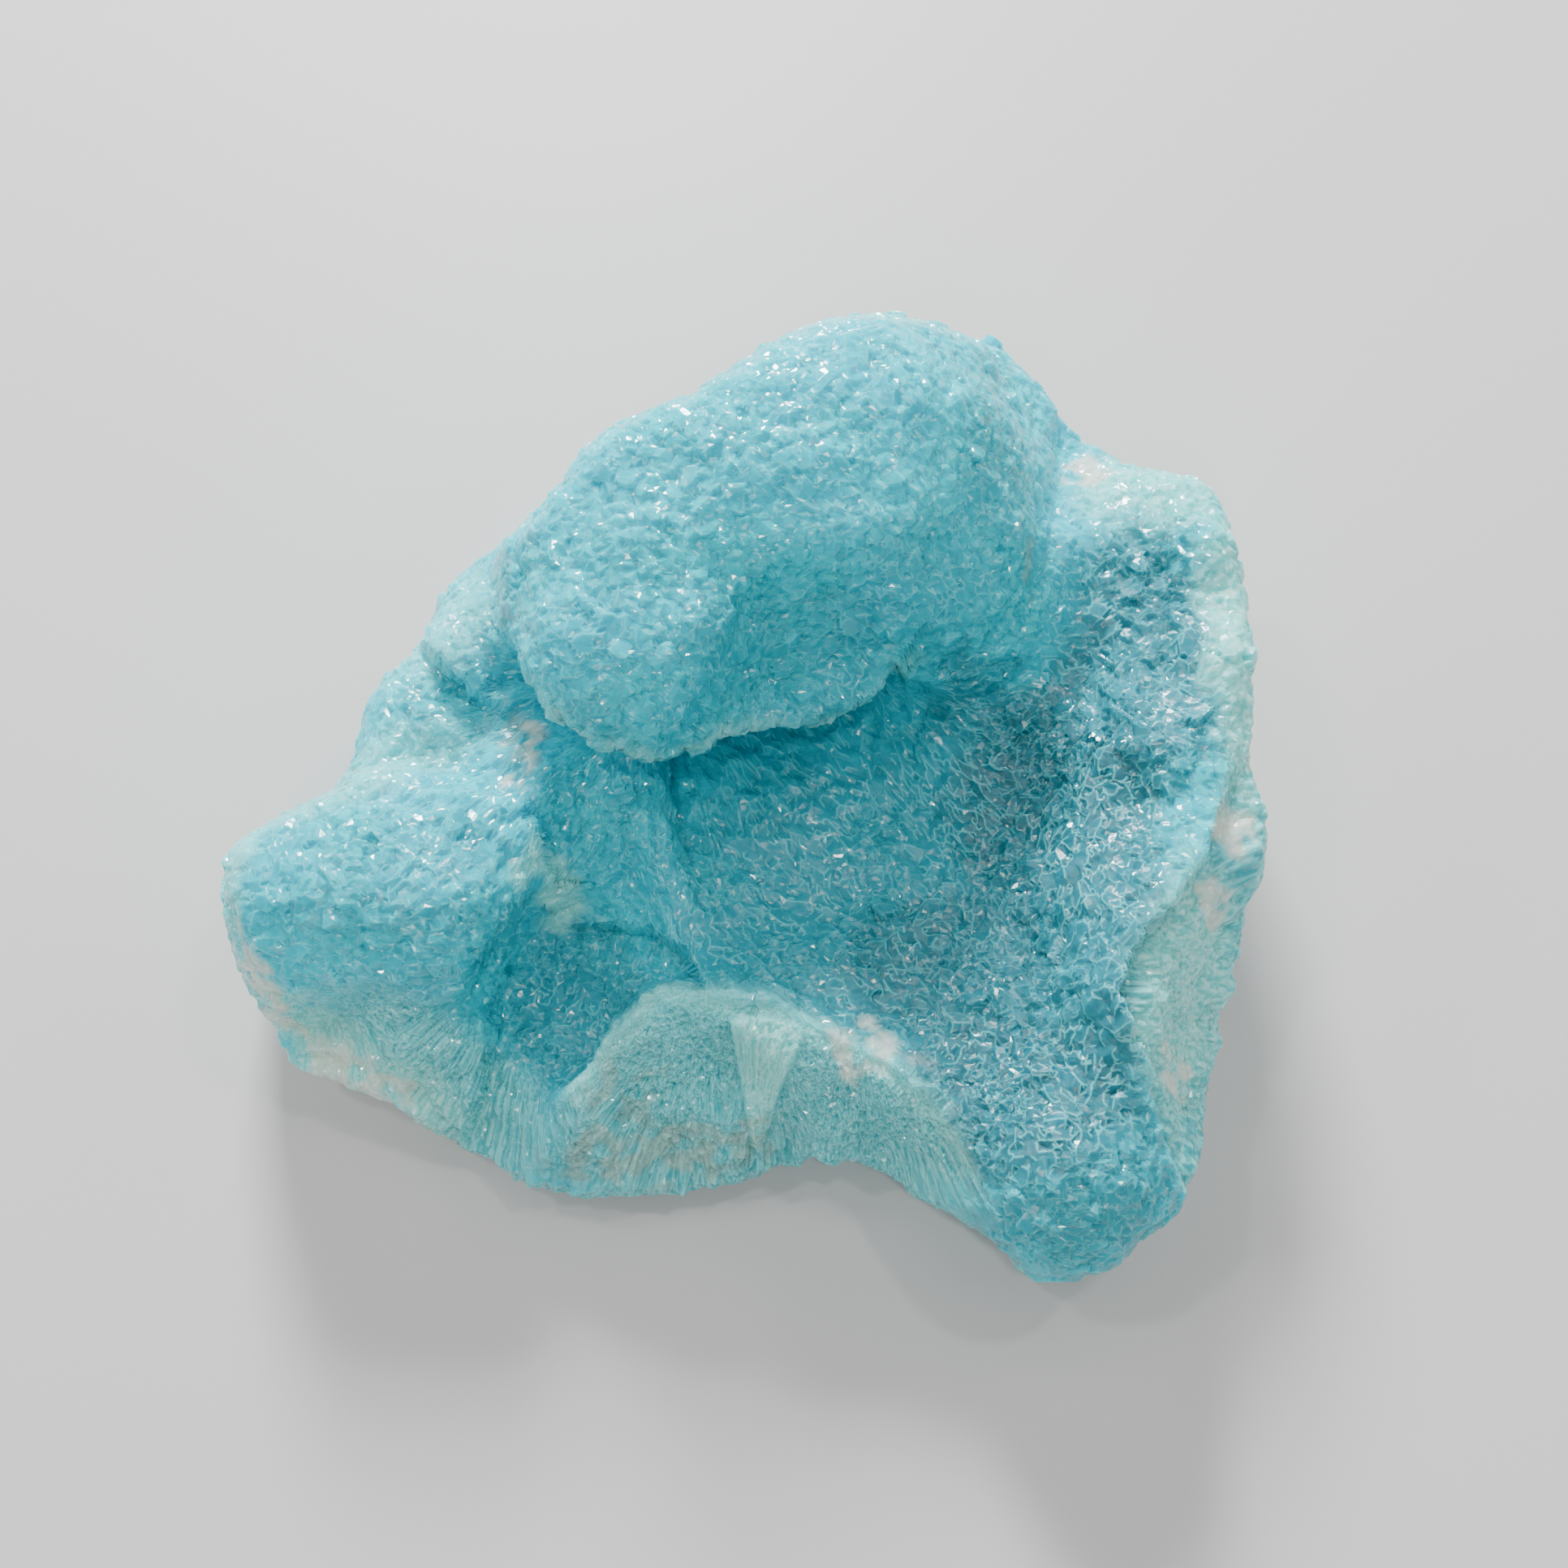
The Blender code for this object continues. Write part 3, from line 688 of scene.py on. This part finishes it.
def nearest_of(name):
    """How far the nearest of the three stored sharp edges is, in millimetres."""
    parts = node("SeparateXYZ", Vector=node("Attribute", attribute_name=name).outputs["Vector"])
    return maths("MINIMUM", maths("MINIMUM", parts.outputs[0], parts.outputs[1]), parts.outputs[2])


# Pale lines painted along the sharp ridges, as highlights where the edges catch light.
ridge = spread(nearest_of("ridge"), 0.02, 0.08, 1.0, 0.0)
# Painted shade along the sharp grooves.
groove = spread(nearest_of("groove"), 0.01, 0.05, 1.0, 0.0)

# Patches a few millimetres wide, clearer here and more crinkled there.
patch = node("TexNoise", Vector=place, Scale=260.0, Detail=1.0).outputs["Fac"]

# Wrinkles seen through the clear skin: thin crooked lines that break off at each face's edge and
# run more across the stone than up it.
shift = node("CombineXYZ", X=maths("MULTIPLY", tone, 0.0004), Y=0.0, Z=0.0).outputs[0]
drawn = vectors("MULTIPLY", vectors("ADD", place, shift), (0.55, 1.25, 1.0))
wrinkle = maths("SUBTRACT", node("TexNoise", Vector=drawn, Scale=1400.0, Detail=1.5).outputs["Fac"], 0.5)
crease = spread(maths("ABSOLUTE", wrinkle), 0.004, 0.016, 1.0, 0.0)
crease = maths("MULTIPLY", crease, spread(patch, 0.42, 0.58, 0.2, 0.9))
wrinkles_and_edge_highlights = maths("MAXIMUM", maths("MULTIPLY", ridge, spread(patch, 0.40, 0.60, 0.9, 0.3)), crease)

# Tiny flat facets a third of a millimetre across, each with its own tilt and shade.
warp = [maths("MULTIPLY", wrinkle, far) for far in (0.0016, -0.0012, 0.0010)]
warp = node("CombineXYZ", X=warp[0], Y=warp[1], Z=warp[2]).outputs[0]
facets = node("TexVoronoi", Vector=vectors("ADD", place, warp), Scale=3000.0).outputs["Color"]
facet_tone = node("SeparateXYZ", Vector=facets).outputs[0]
tilt = node("VectorMath", operation="SCALE", i0=vectors("SUBTRACT", facets, (0.5, 0.5, 0.5)))
links.new(spread(patch, 0.40, 0.66, 0.15, 1.0), tilt.inputs["Scale"])
facing = vectors("NORMALIZE", vectors("ADD", node("NewGeometry").outputs["Normal"], tilt.outputs[0]))

# Fibres on the breaks, which fan out as their grooves do.
along_fan = node("Attribute", attribute_name="fan").outputs["Vector"]
streak = node("TexNoise", Vector=along_fan, Scale=60.0, Detail=2.0).outputs["Fac"]
streak = spread(streak, 0.40, 0.62)

# Aqua, deeper in the hollows and from facet to facet. In the hollows, under the lip and on the side
# facing the soft box the deep tint is partly painted shade. A deep tint over 1 paints still darker shade.
body = mixed(spread(patch, 0.3, 0.7), (0.0, 0.72, 0.88), (0.0, 0.86, 0.98))
body = mixed(deep_and_shade, body, (0.030, 0.28, 0.34))
body = mixed(spread(deep_and_shade, 1.0, 2.0), body, (0.01, 0.06, 0.08))
body = mixed(maths("MULTIPLY", tone, 0.25), body, (0.0, 0.26, 0.36))
body = mixed(maths("MULTIPLY", facet_tone, 0.36), body, (0.0, 0.30, 0.40))

# The breaks are milky, with paler fibres. The thin edges are paler, partly their own pale crust and
# partly a painted glow of light shining through them.
fracture = mixed(streak, (0.05, 0.44, 0.48), (0.32, 0.86, 0.84))
body = mixed(maths("MULTIPLY", kept("broken"), 0.8), body, fracture)
pale = mixed(streak, (0.18, 0.78, 0.72), (0.50, 0.97, 0.90))
body = mixed(maths("MULTIPLY", kept("pale"), 0.85), body, pale)

# Then painted shade in the grooves, the fine wrinkle lines with the painted highlights on the ridges,
# the rusty stains and the cream crusts.
body = mixed(maths("MULTIPLY", groove, 0.15), body, (0.0, 0.20, 0.26))
body = mixed(maths("MULTIPLY", wrinkles_and_edge_highlights, maths("MULTIPLY_ADD", deep_and_shade, 0.10, 0.26)), body, (0.28, 0.98, 0.98))
body = mixed(maths("MULTIPLY", kept("iron"), 0.5), body, (0.55, 0.42, 0.24))
colour = mixed(maths("MULTIPLY", kept("cream"), 0.9), body, (0.84, 0.86, 0.76))
links.new(colour, shader.inputs["Base Color"])

# Glassy, and a little duller in the hollows.
links.new(facing, shader.inputs["Normal"])
gloss = maths("MULTIPLY_ADD", deep_and_shade, 0.08, spread(kept("gleam"), 0.0, 1.0, 0.04, 0.26))
links.new(gloss, shader.inputs["Roughness"])
shader.inputs["IOR"].default_value = 1.61
shader.inputs["Subsurface Weight"].default_value = 0.7
shader.inputs["Subsurface Radius"].default_value = (0.4, 1.0, 1.1)
shader.inputs["Subsurface Scale"].default_value = 0.0012
shader.inputs["Specular IOR Level"].default_value = 0.4
stone_mesh.materials.clear()
stone_mesh.materials.append(crystal)


# The floor, a plain pale sheet that the stone lies on.
floor_mesh = bpy.data.meshes.new("floor")
half = 0.8
floor_corners = [(-half, -half, 0), (half, -half, 0), (half, half, 0), (-half, half, 0)]
floor_mesh.from_pydata(floor_corners, [], [(0, 1, 2, 3)])
floor = bpy.data.objects.new("floor", floor_mesh)
bpy.context.scene.collection.objects.link(floor)
paper = bpy.data.materials.new("pale paper")
paper_shader = shader_of(paper)
paper_shader.inputs["Base Color"].default_value = (0.62, 0.62, 0.62, 1)
paper_shader.inputs["Roughness"].default_value = 0.6
floor_mesh.materials.append(paper)


# The light: a soft box low beyond the dome, four long strips round the stone for the facets to
# reflect, four small lamps for the sparkle, and a dim pale room.
WHITE = (1.0, 1.0, 1.0)
WARM = (1.0, 0.96, 0.93)


def lamp(name, spot, wide, long, power, tint):
    """An area light at spot, in metres, that points at the stone."""
    data = bpy.data.lights.new(name, "AREA")
    data.shape = "RECTANGLE"
    data.energy = power
    data.size = wide
    data.size_y = long
    data.color = tint
    thing = bpy.data.objects.new(name, data)
    bpy.context.scene.collection.objects.link(thing)
    thing.location = spot
    thing.rotation_euler = (Vector(spot) - aim).to_track_quat("Z", "Y").to_euler()


STRIP = (0.30, 0.03)
SPARKLE = (0.02, 0.02)
lamp("soft box", (-0.06, 0.37, 0.215), 0.09, 0.09, 4.3, WHITE)
lamp("far strip", (0.0, 0.16, 0.33), *STRIP, 0.16, WHITE)
lamp("left strip", (-0.26, 0.10, 0.22), *STRIP, 0.16, WHITE)
lamp("right strip", (0.24, 0.12, 0.22), *STRIP, 0.15, WHITE)
lamp("near strip", (0.0, -0.26, 0.24), *STRIP, 0.14, WHITE)
lamp("left sparkle", (-0.16, 0.06, 0.30), *SPARKLE, 0.16, WARM)
lamp("right sparkle", (0.14, 0.10, 0.32), *SPARKLE, 0.16, WARM)
lamp("low sparkle", (0.02, -0.06, 0.36), *SPARKLE, 0.16, WARM)
lamp("near sparkle", (-0.05, -0.22, 0.28), *SPARKLE, 0.14, WARM)
room = bpy.data.worlds.new("room")
bpy.context.scene.world = room
room.use_nodes = True
room.node_tree.nodes["Background"].inputs["Color"].default_value = (0.84, 0.86, 0.88, 1)
room.node_tree.nodes["Background"].inputs["Strength"].default_value = 0.26
